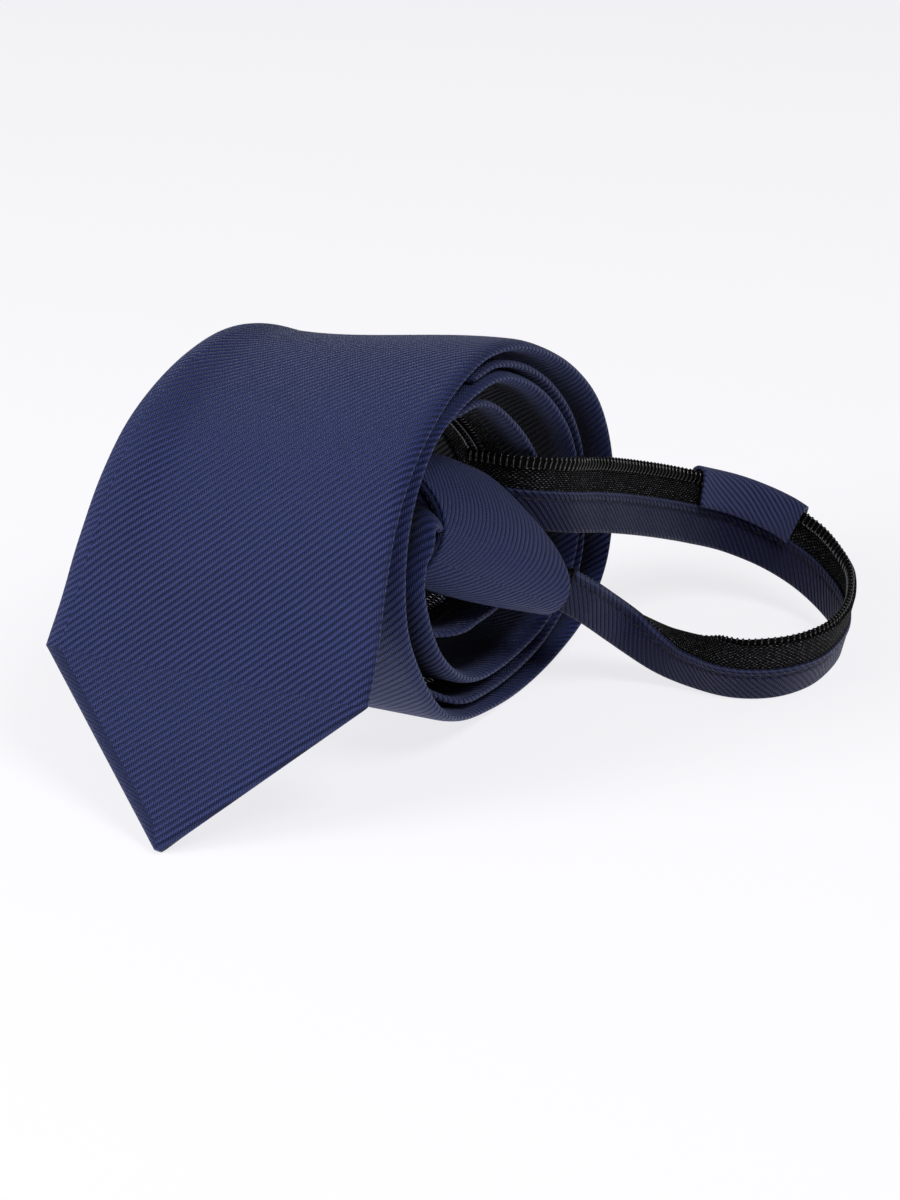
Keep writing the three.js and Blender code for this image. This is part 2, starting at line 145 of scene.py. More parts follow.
TAIL_ROWS = [
    (-0.074, 0.614, 1), (-0.132, 0.641, 1), (-0.174, 0.645, 0.8), (-0.205, 0.601, 0.35),
    (-0.211, 0.511, 0.08), (-0.194, 0.42, 0), (-0.143, 0.332, 0), (-0.059, 0.274, 0),
    (0.049, 0.234, 0), (0.241, 0.163, 0), (0.482, 0.332, 0), (0.544, 0.489, 0), (0.537, 0.633, 0),
    (0.461, 0.763, 0), (0.242, 0.943, 0), (0.129, 0.981, 0), (0.013, 0.969, 0),
    (-0.096, 0.908, 0), (-0.186, 0.803, 0), (-0.239, 0.664, 0), (-0.253, 0.52, 0),
    (-0.221, 0.382, 0), (-0.162, 0.259, 0), (-0.075, 0.148, 0), (0.04, 0.06, 0),
    (0.195, 0.016, 0), (0.365, 0.017, 0), (0.519, 0.061, 0), (0.634, 0.145, 0), (0.698, 0.262, 0),
    (0.695, 0.541, 0), (0.641, 0.692, 0), (0.536, 0.827, 0), (0.399, 0.929, 0), (0.253, 0.984, 0),
    (0.13, 0.989, 0),
]

# %% [markdown]
# ## Lines and sections
# Every strip of the tie is a flat band that follows a smooth line. Ready-made curves could
# carry them, but a band has to lean over as it leaves the knot, row by row, so the rows are
# worked out here. A centripetal Catmull-Rom curve goes through the chosen points without
# overshooting, and stepping along it by length keeps the weave even.

# %% Smooth lines
def unit(v):
    return v / np.maximum(np.linalg.norm(v, axis=-1, keepdims=True), 1e-12)


def smooth(t):
    k = np.clip(t, 0.0, 1.0)
    return k * k * (3 - 2 * k)


def lengths_along(points):
    """Distance from the first point to each of the others, along the line through them."""
    steps = np.linalg.norm(np.diff(points, axis=-2), axis=-1)
    return np.concatenate([np.zeros_like(steps[..., :1]), np.cumsum(steps, axis=-1)], axis=-1)


def lengths_round(points):
    """The same round a closed ring of points, back to the first one."""
    return lengths_along(np.concatenate([points, points[..., :1, :]], axis=-2))


# %% Lines with columns of values
class Rail:
    """A smooth line through points, read by its share of length, with columns of values."""

    def __init__(self, points, columns, fine=60):
        p = np.asarray(points, float)
        p = np.vstack([2 * p[0] - p[1], p, 2 * p[-1] - p[-2]])
        dense = []
        spots = []
        for i in range(1, len(p) - 2):
            dense.append(self._segment(p[i - 1 : i + 3], np.linspace(0, 1, fine, endpoint=False)))
            spots.append(i - 1 + np.linspace(0, 1, fine, endpoint=False))
        dense.append(p[-2:-1])
        spots.append(np.array([len(p) - 3.0]))
        self.dense = np.vstack(dense)
        self.spots = np.concatenate(spots)
        self.along = lengths_along(self.dense)
        self.length = self.along[-1]
        self.columns = {k: np.asarray(v, float) for k, v in columns.items()}

    @staticmethod
    def _segment(q, share):
        steps = np.linalg.norm(np.diff(q, axis=0), axis=1)
        knots = np.concatenate([[0.0], np.cumsum(steps**0.5)])
        t = (knots[1] + (knots[2] - knots[1]) * share)[:, None]

        def mix(a, b, lo, hi):
            return (hi - t) / (hi - lo) * a + (t - lo) / (hi - lo) * b

        a1 = mix(q[0], q[1], knots[0], knots[1])
        a2 = mix(q[1], q[2], knots[1], knots[2])
        a3 = mix(q[2], q[3], knots[2], knots[3])
        b1 = mix(a1, a2, knots[0], knots[2])
        b2 = mix(a2, a3, knots[1], knots[3])
        return mix(b1, b2, knots[1], knots[2])

    def point(self, share):
        s = np.clip(share, 0, 1) * self.length
        return np.stack([np.interp(s, self.along, self.dense[:, k]) for k in range(3)], -1)

    def tangent(self, share):
        h = 0.002
        return unit(self.point(share + h) - self.point(share - h))

    def value(self, column, share):
        spot = np.interp(np.clip(share, 0, 1) * self.length, self.along, self.spots)
        table = self.columns[column]
        i = np.minimum(spot.astype(int), len(table) - 2)
        k = smooth(spot - i)
        return table[i] * (1 - k) + table[i + 1] * k

    def flow(self, column, share):
        """Like value, but curving through the rows, so that a twist has no steps."""
        spot = np.interp(np.clip(share, 0, 1) * self.length, self.along, self.spots)
        table = self.columns[column]
        last = len(table) - 1
        i = np.minimum(spot.astype(int), last - 1)
        k = spot - i
        before, here = table[np.maximum(i - 1, 0)], table[i]
        there, after = table[i + 1], table[np.minimum(i + 2, last)]
        rise, fall, step = (there - before) / 2, (after - here) / 2, there - here
        return here + k * (rise + k * (3 * step - 2 * rise - fall + k * (rise + fall - 2 * step)))


# %% Winding
MIDDLE = np.array([0.0, ROLL_MIDDLE[0] * ROLL_DEPTH, ROLL_MIDDLE[1] * ROLL_HEIGHT])
KNOT_HEM_ACROSS = unit(np.array([0.85, -0.33, -0.42]))
AXIS = np.array([1.0, 0.0, 0.0])
DRIFT_POWER = 1.5


def winding_rail(rows, within):
    """The right rim of a strip wound outwards; every turn to come moves it one ply inwards."""
    ply = BLADE_THICKNESS + TAIL_COIL_THICKNESS + 4 * SEWN_GAP
    angle = START_ANGLE
    points = []
    for y, z, _ in rows:
        base = np.array([0.0, y * ROLL_DEPTH, z * ROLL_HEIGHT])
        away = unit(base - MIDDLE)
        here = math.degrees(math.atan2(away[2], away[1]))
        angle = here + 360 * round((angle - here) / 360)
        plies = max(0.0, (LAST_TOP - angle) / 360) + within
        base = base - away * ply * plies
        base[0] = RIM_DRIFT * max(0.0, (base[1] - DRIFT_FROM) / DRIFT_OVER) ** DRIFT_POWER
        points.append(base)
    return Rail(points, {"turned": [row[2] for row in rows]})


def settled(p):
    """The upper turns sink at the empty left end, and the floor flattens the underside."""
    left = -p[..., 0]
    sag = smooth(left / SAG_OVER) * TOP_SAG - smooth((left - SAG_OVER) / LIP_OVER) * LIP_RISE
    amount = sag * smooth((p[..., 2] - MIDDLE[2]) / SAG_RISE)
    away = p - MIDDLE
    away[..., 0] = 0
    p = p - unit(away) * amount[..., None]
    p[..., 2] = np.maximum(p[..., 2], BEDDING)
    return p


blade_line = winding_rail(BLADE_ROWS, 0.0)
tail_line = winding_rail(TAIL_ROWS, 0.5)
print("blade to its corners:", round(blade_line.length, 1), "mm")
print("tail:", round(tail_line.length, 1), "mm")

# %% [markdown]
# ## From rings to a mesh
# A band is a stack of rings. The helper joins them into quads, closes the ends, and writes a
# UV map in metres: U runs round the ring and V along the band, so a weave keeps its scale and
# its direction on every piece and runs on over the edges, as folded cloth does.

# %% Ring mesh helper
def end_faces(count, ends):
    """The faces that close one end of a band, each corner as its point and its UV's column."""
    if ends == "joined":
        return []
    if ends == "polygon":
        return [[(j, j) for j in range(count)]]
    strips = range(count // 2 - 1)
    return [[(j, j), (j + 1, j + 1), (count - 2 - j, j + 1), (count - 1 - j, j)] for j in strips]


def ring_mesh(name, rings, around, along, ends="strips", **marks):
    """rings: (steps, points, 3) in roll millimetres. around and along: lengths in mm.

    ends: closed with strips or with one polygon, or joined, the last ring to the first.
    marks: for each point, the painted shade, by how deep it lies inside the roll, and edge, the
    painted highlight line, by how near it is to a folded edge, both from 0 to 1."""
    steps, count, _ = rings.shape
    rows = len(along)
    u = np.broadcast_to(around, (steps, count + 1)) * MM
    u = np.vstack([u, u[: rows - steps]])
    v = np.broadcast_to(np.reshape(along, (rows, -1)), (rows, count + 1)) * MM
    faces = []
    uvs = []
    for i in range(rows - 1):
        here, there = i * count, (i + 1) % steps * count
        for j in range(count):
            k = (j + 1) % count
            faces.append((here + j, here + k, there + k, there + j))
            uvs += [(u[i, j], v[i, j]), (u[i, j + 1], v[i, j + 1])]
            uvs += [(u[i + 1, j + 1], v[i + 1, j + 1]), (u[i + 1, j], v[i + 1, j])]
    for i, direction in ((0, -1), (steps - 1, 1)):
        for corners in end_faces(count, ends):
            faces.append(tuple(i * count + point for point, _ in corners[::direction]))
            uvs += [(u[i, column], v[i, column]) for _, column in corners[::direction]]
    mesh = bpy.data.meshes.new(name)
    mesh.from_pydata((rings.reshape(-1, 3) * MM + ROLL_ORIGIN).tolist(), [], faces)
    layer = mesh.uv_layers.new(name="cloth")
    layer.data.foreach_set("uv", np.array(uvs, np.float32).ravel())
    for label, values in marks.items():
        mark = mesh.attributes.new(label, "FLOAT", "POINT")
        mark.data.foreach_set("value", np.asarray(values, np.float32).ravel())
    mesh.polygons.foreach_set("use_smooth", [True] * len(mesh.polygons))
    mesh.update()
    if signed_volume(mesh) < 0:
        mesh.flip_normals()
    obj = bpy.data.objects.new(name, mesh)
    bpy.context.scene.collection.objects.link(obj)
    print(name, len(faces), "faces")
    return obj


# %% Volume and band section
def signed_volume(mesh):
    bm = bmesh.new()
    bm.from_mesh(mesh)
    volume = bm.calc_volume(signed=True)
    bm.free()
    return volume


def pillow_section(width, thickness, across, rim=5, soft=None):
    """A flat band with round rims, starting at the left of the lower face: points and lengths.

    soft is how far in from the rim the band starts to thin, so that a padded fold rolls over."""
    r = thickness / 2
    soft = r if soft is None else max(r, min(soft, width / 3))
    flat = np.linspace(-width / 2 + soft, width / 2 - soft, across + 1)
    turn = np.radians(np.linspace(-90, 90, rim + 2)[1:-1])
    low = np.stack([flat, np.full_like(flat, -r)], -1)
    right = np.stack([width / 2 - soft + soft * np.cos(turn), r * np.sin(turn)], -1)
    high = np.stack([flat[::-1], np.full_like(flat, r)], -1)
    left = np.stack([-width / 2 + soft - soft * np.cos(turn), -r * np.sin(turn)], -1)
    points = np.vstack([low, right, high, left])
    return points, lengths_round(points) + flat[0]


# %% [markdown]
# ## Ribbed cloth
# The tie's cloth is a heavy ribbed weave: round cords under fine silky threads, about 1.3 mm
# from cord to cord, lying at 45 degrees because tie cloth is cut on the bias. Modelled cords
# would take millions of faces, so they are a wave across the cloth's UV map. Bump makes them
# round, painted shade darkens the grooves and painted light brightens the cords, and a finer
# wave along each cord gives the threads. Painted glints sparkle on the crests. A pale sheen at
# grazing angles is the satin of the yarn. Two marks on the points change the cloth from place to
# place: one paints shade deep inside the roll, where hardly any light comes, and `edge` paints a
# highlight line where it is folded.

# %% Node helpers
def add_node(tree, kind, inputs, **settings):
    """A node with its settings, and its inputs by name or number: values, or sockets to link."""
    node = tree.nodes.new(kind)
    for label, value in settings.items():
        setattr(node, label, value)
    for label, value in inputs.items():
        if isinstance(value, bpy.types.NodeSocket):
            tree.links.new(value, node.inputs[label])
        else:
            node.inputs[label].default_value = value
    return node


def new_material(name, inputs):
    """A material with its plain inputs set, its node tree and its shader."""
    material = bpy.data.materials.new(name)
    material.use_nodes = True
    tree = material.node_tree
    shader = tree.nodes["Principled BSDF"]
    for label, value in inputs.items():
        shader.inputs[label].default_value = value
    return material, tree, shader


def math_node(tree, kind, *values):
    return add_node(tree, "ShaderNodeMath", dict(enumerate(values)), operation=kind).outputs[0]


def times(tree, a, b, plus=0.0):
    """a times b, plus a third value."""
    return math_node(tree, "MULTIPLY_ADD", a, b, plus)


def mix_colour(tree, share, one, other):
    colours = {0: share, 6: one, 7: other}
    return add_node(tree, "ShaderNodeMix", colours, data_type="RGBA").outputs[2]


def noise_node(tree, vector, scale, detail=2.0):
    inputs = {"Vector": vector, "Scale": scale, "Detail": detail}
    return add_node(tree, "ShaderNodeTexNoise", inputs).outputs["Fac"]


def bump_node(tree, height, distance):
    inputs = {"Height": height, "Distance": distance, "Strength": 1.0}
    return add_node(tree, "ShaderNodeBump", inputs).outputs["Normal"]


def cloth_uv(tree):
    """The piece's own UV map, whole and as its two lengths."""
    uv = add_node(tree, "ShaderNodeUVMap", {}, uv_map="cloth").outputs["UV"]
    split = add_node(tree, "ShaderNodeSeparateXYZ", {0: uv})
    return uv, split.outputs[0], split.outputs[1]


def mark_on_points(tree, label):
    """One of the marks on a piece's points, 0 on a piece without it."""
    return add_node(tree, "ShaderNodeAttribute", {}, attribute_name=label).outputs["Fac"]


# %% Ribbed cloth
RIB_PITCH = 1.26 * MM
STRAP_PITCH = 1.02 * MM
RIB_DEPTH = 0.34 * MM
THREAD_PITCH = 0.52 * MM
THREAD_SLANT = 0.7
CORD_ROUND = 0.32
SWAY = 0.45 * MM
SWAY_SCALE = 110.0
BROAD_SCALE = 45.0
GRAIN_SCALE = 4200.0
THREAD_RELIEF = 0.14
GRAIN_RELIEF = 0.10
TONE_CORD_LIGHT = 0.85
TONE_GRAIN = 0.25
TONE_BROAD = 0.25
TONE_THREAD = 0.16
FOLD_GRAIN = 0.9
NAVY = (0.0170, 0.0272, 0.1200, 1.0)
# The tie's navy, painted darker for shade on the tail's binding and the strap's binding, and
# painted lighter for the light on the sleeve
NAVY_TAIL = (0.0120, 0.0185, 0.0900, 1.0)
NAVY_DEEP = (0.0054, 0.0066, 0.0400, 1.0)
NAVY_LIT = (0.0600, 0.0700, 0.1900, 1.0)
BLACK = (0.0004, 0.0005, 0.0016, 1.0)
GROOVE_SHADE = (0.0012, 0.0016, 0.0085, 1.0)
PAINTED_HIGHLIGHT = (0.085, 0.105, 0.235, 1.0)
GLINT_SHARE = 1.9
CREST_POWER = 9.0
PAINTED_SHADE_STRENGTH = 0.9
SILK_TINT = (0.62, 0.68, 0.95, 1.0)
SATIN = 0.2
RIBBED_CLOTH = {
    "Roughness": 0.55,
    "Specular IOR Level": 0.18,
    "Sheen Roughness": 0.35,
    "Sheen Tint": SILK_TINT,
}


# %% Ribbed cloth material
def cord_waves(tree, u, v, sway, angle, pitch):
    """The cords, from 0 in a groove to 1 on a crest, and the threads, from -1 to 1."""
    turn = math.radians(angle)
    over = times(tree, v, math.cos(turn), times(tree, u, -math.sin(turn), sway))
    along = times(tree, v, math.sin(turn), times(tree, u, math.cos(turn)))
    wave = math_node(tree, "SINE", times(tree, over, 2 * math.pi / pitch))
    slanted = times(tree, over, THREAD_SLANT, along)
    thread = math_node(tree, "SINE", times(tree, slanted, 2 * math.pi / THREAD_PITCH))
    return times(tree, wave, 0.5, 0.5), thread


def ribbed_cloth(name, angle, pitch=RIB_PITCH, navy=NAVY, shine=GLINT_SHARE):
    """angle: direction of the cords in the UV map, in degrees from the U axis."""
    material, tree, shader = new_material(name, RIBBED_CLOTH)
    uv, u, v = cloth_uv(tree)
    wobble = math_node(tree, "SUBTRACT", noise_node(tree, uv, SWAY_SCALE, 1.0), 0.5)
    cord, thread = cord_waves(tree, u, v, times(tree, wobble, SWAY), angle, pitch)
    rounded = math_node(tree, "POWER", cord, CORD_ROUND)
    grain = noise_node(tree, uv, GRAIN_SCALE)
    broad = math_node(tree, "SUBTRACT", noise_node(tree, uv, BROAD_SCALE), 0.5)
    height = times(tree, grain, GRAIN_RELIEF, times(tree, thread, THREAD_RELIEF, rounded))

    # Painted shade in the groove and painted light on the lit side of the cord, with real
    # unevenness from place to place
    tone = times(tree, grain, TONE_GRAIN, times(tree, rounded, TONE_CORD_LIGHT))
    tone = times(tree, thread, TONE_THREAD, times(tree, broad, TONE_BROAD, tone))
    colour = mix_colour(tree, tone, GROOVE_SHADE, navy)

    # Painted glints on the crests, and a painted highlight line along a fold
    yarn_glint = times(tree, times(tree, thread, 0.5, 0.5), math_node(tree, "POWER", grain, 2.0))
    painted_glint = times(tree, math_node(tree, "POWER", cord, CREST_POWER), yarn_glint)
    colour = mix_colour(tree, times(tree, painted_glint, shine), colour, PAINTED_HIGHLIGHT)
    uneven = times(tree, grain, FOLD_GRAIN, 1 - FOLD_GRAIN)
    line = times(tree, mark_on_points(tree, "edge"), uneven)
    colour = mix_colour(tree, line, colour, PAINTED_HIGHLIGHT)

    # Painted shade inside the roll, where the satin sheen is also taken away
    hollow = mark_on_points(tree, "hollow")
    colour = mix_colour(tree, times(tree, hollow, PAINTED_SHADE_STRENGTH), colour, BLACK)
    tree.links.new(times(tree, hollow, -SATIN, SATIN), shader.inputs["Sheen Weight"])
    tree.links.new(colour, shader.inputs["Base Color"])
    tree.links.new(bump_node(tree, height, RIB_DEPTH), shader.inputs["Normal"])
    return material


# Direction of the cords: close to that of the point's right edge
BIAS = -44.0
blade_cloth = ribbed_cloth("ribbed_navy", BIAS)
print("cords at", round(BIAS, 1), "degrees in the cloth")

# %% [markdown]
# ## Blade
# The blade is two layers of cloth folded round a soft interlining, so its rims are round and
# there is no raw edge. It starts narrow in the knot and widens to the point. A plane with a
# Solidify modifier would leave square rims, so each row is a flat pillow-shaped ring instead.
# One band with many short rows follows the winding, a few more rows carry it on into the knot,
# and the point is the same band drawn in to a tip.

# %% Blade
BLADE_STEPS = 470
BLADE_ACROSS = 30
BLADE_RIM = 13
BLADE_SOFT = 3.6
TIP_STEPS = 44
TIP_REACH = np.array([0.0, -math.cos(TIP_SLOPE), -math.sin(TIP_SLOPE)])
MOUTH_SPREAD = 1.9
MOUTH_REACH = 5.0
MOUTH_STEPS = 4
# Up to these lengths the cloth lies inside the roll, all of it or its underside, and gets painted
# shade
LAST_TURN = 240.0
LAST_FADE = 20.0
FREE_END = 440.0
FREE_FADE = 60.0


def painted_shade_from_rim(from_rim):
    """Painted shade: 0 at a rim, 1 well inside the roll, where little light comes."""
    return smooth((from_rim - 1.0) / 5.0)


def blade_rows():
    """Middle, side, normal, width, length run and sideways shift of each row of the blade."""
    share = np.linspace(0, 1, BLADE_STEPS)
    turned = blade_line.value("turned", share)[:, None]
    side = unit(AXIS * (1 - turned) + KNOT_HEM_ACROSS * turned)
    normal = unit(np.cross(side, blade_line.tangent(share)))
    spread = MOUTH_SPREAD * smooth(1.8 * turned)
    width = BLADE_HEM_WIDTH + (BLADE_WIDTH - BLADE_HEM_WIDTH) * share**FLARE
    heart = blade_line.point(share) - side * (width[:, None] / 2 + HEM_INSET * turned - spread)
    width = width + spread[:, 0]

    # On into the knot's mouth, straight back from the first row
    deep = np.linspace(MOUTH_REACH, 0, MOUTH_STEPS + 1)[:-1]
    mouth = heart[0] - blade_line.tangent(share[:1]) * deep[:, None]

    # From the corners to the tip
    k = np.linspace(0, 1, TIP_STEPS + 1)[1:]
    tip = heart[-1] + TIP_REACH * (TIP_LENGTH * k)[:, None] + AXIS * (TIP_SHIFT * k)[:, None]

    heart = np.vstack([mouth, heart, tip])
    side = np.vstack([np.tile(side[0], (MOUTH_STEPS, 1)), side, np.tile(AXIS, (TIP_STEPS, 1))])
    tip_normal = np.tile(unit(np.cross(AXIS, TIP_REACH)), (TIP_STEPS, 1))
    normal = np.vstack([np.tile(normal[0], (MOUTH_STEPS, 1)), normal, tip_normal])
    tip_width = BLADE_WIDTH * (1 - k) + TIP_BLUNT * k
    width = np.concatenate([np.full(MOUTH_STEPS, width[0]), width, tip_width])
    length = blade_line.length
    along = np.concatenate([-deep, share * length, length + TIP_LENGTH * k])
    shift = np.concatenate([np.zeros(len(width) - TIP_STEPS), TIP_SHIFT * k])
    return heart, side, normal, width, along, shift


# %% Blade mesh
def blade_mesh():
    heart, side, normal, width, along, shift = blade_rows()
    rings = []
    around = []
    hollow = []
    for i in range(len(width)):
        thickness = min(BLADE_THICKNESS, width[i])
        points, lengths = pillow_section(width[i], thickness, BLADE_ACROSS, BLADE_RIM, BLADE_SOFT)
        rings.append(heart[i] + points[:, :1] * side[i] + points[:, 1:] * normal[i])
        around.append(lengths + shift[i])
        # Painted shade on the underside and on the wound turns, darker away from the rims
        underside = smooth(points[:, 1] / thickness + 0.5)
        under = underside * smooth((FREE_END - along[i]) / FREE_FADE)
        wound = smooth((LAST_TURN - along[i]) / LAST_FADE)
        hollow.append(np.maximum(under, wound) * painted_shade_from_rim(width[i] / 2 - np.abs(points[:, 0])))
    rings = settled(np.array(rings))
    return ring_mesh("blade_cloth", rings, np.array(around), along, hollow=hollow)


blade = blade_mesh()
blade.data.materials.append(blade_cloth)
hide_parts("blade")

# %% [markdown]
# ## Tape and nylon
# The zipper tape is black woven polyester: small bricks where each shiny yarn comes up, with
# painted glints on them.
# A brick texture has flat bricks with sharp joints, so two waves make them here, each row moved
# on by half a brick. The coil is black nylon, smooth enough for a clear highlight on every turn.

# %% Tape and nylon
BRICK_ALONG = 0.95 * MM
BRICK_ACROSS = 0.42 * MM
BRICK_RELIEF = 0.26 * MM
TAPE_DARK = (0.0018, 0.0018, 0.0020, 1.0)
TAPE_LIT = (0.33, 0.33, 0.35, 1.0)
TAPE_GRAIN = 2600.0
GLINT_POWER = 6.0
GLINT_GAIN = 14.0
NYLON_DARK = (0.002, 0.002, 0.002, 1.0)
NYLON_WORN = (0.007, 0.007, 0.008, 1.0)
NYLON_GRAIN = 900.0
NYLON_RELIEF = 0.02 * MM
NYLON = {
    "Roughness": 0.15,
    "Specular IOR Level": 0.5,
    "Coat Weight": 0.5,
    "Coat Roughness": 0.08,
}


def hump(tree, value):
    """Rises from 0 to 1 and falls again over each whole number."""
    return math_node(tree, "SINE", times(tree, math_node(tree, "FRACT", value), math.pi))


def woven_tape(name):
    material, tree, shader = new_material(name, {"Roughness": 0.7, "Specular IOR Level": 0.05})
    uv, u, v = cloth_uv(tree)
    row = math_node(tree, "DIVIDE", u, BRICK_ACROSS)
    moved = times(tree, math_node(tree, "FLOOR", row), 0.5)
    brick = math_node(tree, "ADD", math_node(tree, "DIVIDE", v, BRICK_ALONG), moved)
    height = times(tree, hump(tree, row), math_node(tree, "POWER", hump(tree, brick), 0.5))
    grain = noise_node(tree, uv, TAPE_GRAIN)
    # Painted glints on the tops of the bricks
    painted_glint = math_node(tree, "POWER", times(tree, height, grain), GLINT_POWER)
    colour = mix_colour(tree, times(tree, painted_glint, GLINT_GAIN), TAPE_DARK, TAPE_LIT)
    tree.links.new(colour, shader.inputs["Base Color"])
    tree.links.new(bump_node(tree, height, BRICK_RELIEF), shader.inputs["Normal"])
    return material


def nylon(name):
    material, tree, shader = new_material(name, NYLON)
    place = add_node(tree, "ShaderNodeTexCoord", {}).outputs["Object"]
    worn = noise_node(tree, place, NYLON_GRAIN, 3.0)
    colour = mix_colour(tree, worn, NYLON_DARK, NYLON_WORN)
    tree.links.new(colour, shader.inputs["Base Color"])
    tree.links.new(bump_node(tree, worn, NYLON_RELIEF), shader.inputs["Normal"])
    return material


def one_colour(name, colour, rough, specular=0.5):
    inputs = {"Base Color": colour, "Roughness": rough, "Specular IOR Level": specular}
    return new_material(name, inputs)[0]


core_cord = one_colour("core_cord", (0.0015, 0.0015, 0.0017, 1.0), 0.9, 0.08)
tape_cloth = woven_tape("black_tape")
coil_nylon = nylon("black_coil")
# The tail binding's navy is painted darker, for the shade inside the roll
binding_cloth = ribbed_cloth("navy_binding", BIAS, navy=NAVY_TAIL)
print("black tape, nylon and the darker binding are ready")

# %% [markdown]
# ## Zipped tail
# Inside the blade the narrow tail is wound with it: two zipper tapes bound in the tie's cloth,
# with the closed coil between them. Each band keeps its place across the tail, and the woven
# tapes reach in under the bindings and the coil, so that no gap shows between them.

# %% Tail bands
TAIL_STEPS = 330
COIL_PITCH = 1.33
WOVEN_THICKNESS = 0.7
TAPE_UNDER_BINDING = 0.6
TAPE_UNDER_COIL = 0.7
TAPE_EXTRA = 1.6
TAIL_TAPE_WIDTH = (TAIL_WIDTH - 2 * TAIL_BINDING_WIDTH - TAIL_COIL_WIDTH - 4 * SEWN_GAP) / 2


def tail_frame(share, inset, width):
    """Middle, sideways and normal of a band that starts inset from the tail's right edge."""
    turned = tail_line.value("turned", share)[:, None]
    line = tail_line.point(share)
    squeeze = 1 - TAIL_HEM_SQUEEZE * turned
    hide = TAIL_EDGE_INSET + TAIL_HIDE * smooth((HIDE_FROM - line[:, 1:2]) / HIDE_OVER)
    side = unit(AXIS * (1 - turned) + KNOT_HEM_ACROSS * turned)
    normal = unit(np.cross(side, tail_line.tangent(share)))
    edge = inset * squeeze + hide + width * squeeze / 2 + HEM_INSET * turned
    return line - side * edge, side, normal, width * squeeze[:, 0]


def tail_band(name, inset, width, thickness, across):
    share = np.linspace(0, 1, TAIL_STEPS)
    heart, side, normal, widths = tail_frame(share, inset, width)
    rings = []
    around = []
    hollow = []
    for i in range(TAIL_STEPS):
        points, lengths = pillow_section(widths[i], thickness, across, 3)
        rings.append(heart[i] + points[:, :1] * side[i] + points[:, 1:] * normal[i])
        around.append(lengths)
        # Painted shade, darker away from the tail's right edge
        hollow.append(painted_shade_from_rim(inset + widths[i] / 2 - points[:, 0]))
    rings = settled(np.array(rings))
    return ring_mesh(name, rings, np.array(around), share * tail_line.length, hollow=hollow)


def tail_tape(name, inset):
    return tail_band(name, inset, TAIL_TAPE_WIDTH + TAPE_EXTRA, WOVEN_THICKNESS, 4)


def tail_binding(name, inset):
    return tail_band(name, inset, TAIL_BINDING_WIDTH, TAIL_THICKNESS, 8)


RIGHT_TAPE = TAIL_BINDING_WIDTH - TAPE_UNDER_BINDING
COIL_START = TAIL_BINDING_WIDTH + 2 * SEWN_GAP + TAIL_TAPE_WIDTH
LEFT_TAPE = COIL_START + TAIL_COIL_WIDTH + SEWN_GAP - TAPE_UNDER_COIL
LEFT_BINDING = COIL_START + TAIL_COIL_WIDTH + 2 * SEWN_GAP + TAIL_TAPE_WIDTH
tail_pieces = {
    "tail_binding_right": tail_binding("tail_cloth_right", 0),
    "tail_tape_right": tail_tape("tail_tape_right_woven", RIGHT_TAPE),
    "tail_tape_left": tail_tape("tail_tape_left_woven", LEFT_TAPE),
    "tail_binding_left": tail_binding("tail_cloth_left", LEFT_BINDING),
}
for node, piece in tail_pieces.items():
    cloth = "binding" in node
    piece.data.materials.append(binding_cloth if cloth else tape_cloth)
    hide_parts(node)

# %% [markdown]
# ## Coils and stitches
# A nylon zipper is one thread wound into a coil along each tape. A Geometry Nodes tree bends one
# turn of wire into shape and sets a copy on every point of a path, turned by two directions
# stored on the points: `forward` along the zipper and `rise` out of the tape's edge. A second
# tree sets a short round thread on each point, for the machine stitches.

# %% Geometry Nodes helpers
def path_object(name, points, forward, rise):
    """points in roll millimetres, with the two directions stored as attributes."""
    mesh = bpy.data.meshes.new(name)
    mesh.from_pydata((np.asarray(points) * MM + ROLL_ORIGIN).tolist(), [], [])
    for label, values in (("forward", forward), ("rise", rise)):
        attribute = mesh.attributes.new(label, "FLOAT_VECTOR", "POINT")
        attribute.data.foreach_set("vector", np.asarray(values, np.float32).ravel())
    obj = bpy.data.objects.new(name, mesh)
    bpy.context.scene.collection.objects.link(obj)
    return obj


def tree_with_inputs(name, inputs):
    tree = bpy.data.node_groups.new(name, "GeometryNodeTree")
    tree.interface.new_socket("Geometry", in_out="INPUT", socket_type="NodeSocketGeometry")
    for label, kind in inputs:
        tree.interface.new_socket(label, in_out="INPUT", socket_type="NodeSocket" + kind)
    tree.interface.new_socket("Geometry", in_out="OUTPUT", socket_type="NodeSocketGeometry")
    return tree, tree.nodes.new("NodeGroupInput"), tree.nodes.new("NodeGroupOutput")


def on_points(tree, group_in, group_out, instance):
    """Sets a copy of instance on each point, Z forward and X along rise, and realizes them."""
    turn = {}
    for axis, label, pivot in (("Z", "forward", "AUTO"), ("X", "rise", "Z")):
        named = {"Name": label}
        read = add_node(tree, "GeometryNodeInputNamedAttribute", named, data_type="FLOAT_VECTOR")
        inputs = {"Vector": read.outputs["Attribute"], **turn}
        kind = "FunctionNodeAlignRotationToVector"
        align = add_node(tree, kind, inputs, axis=axis, pivot_axis=pivot)
        turn = {"Rotation": align.outputs["Rotation"]}
    inputs = {"Points": group_in.outputs["Geometry"], "Instance": instance, **turn}
    place = add_node(tree, "GeometryNodeInstanceOnPoints", inputs)
    inputs = {"Geometry": place.outputs["Instances"]}
    real = add_node(tree, "GeometryNodeRealizeInstances", inputs)
    shade = add_node(tree, "GeometryNodeSetShadeSmooth", {"Geometry": real.outputs["Geometry"]})
    inputs = {"Geometry": shade.outputs["Geometry"], "Material": group_in.outputs["Material"]}
    finish = add_node(tree, "GeometryNodeSetMaterial", inputs)
    tree.links.new(finish.outputs["Geometry"], group_out.inputs["Geometry"])


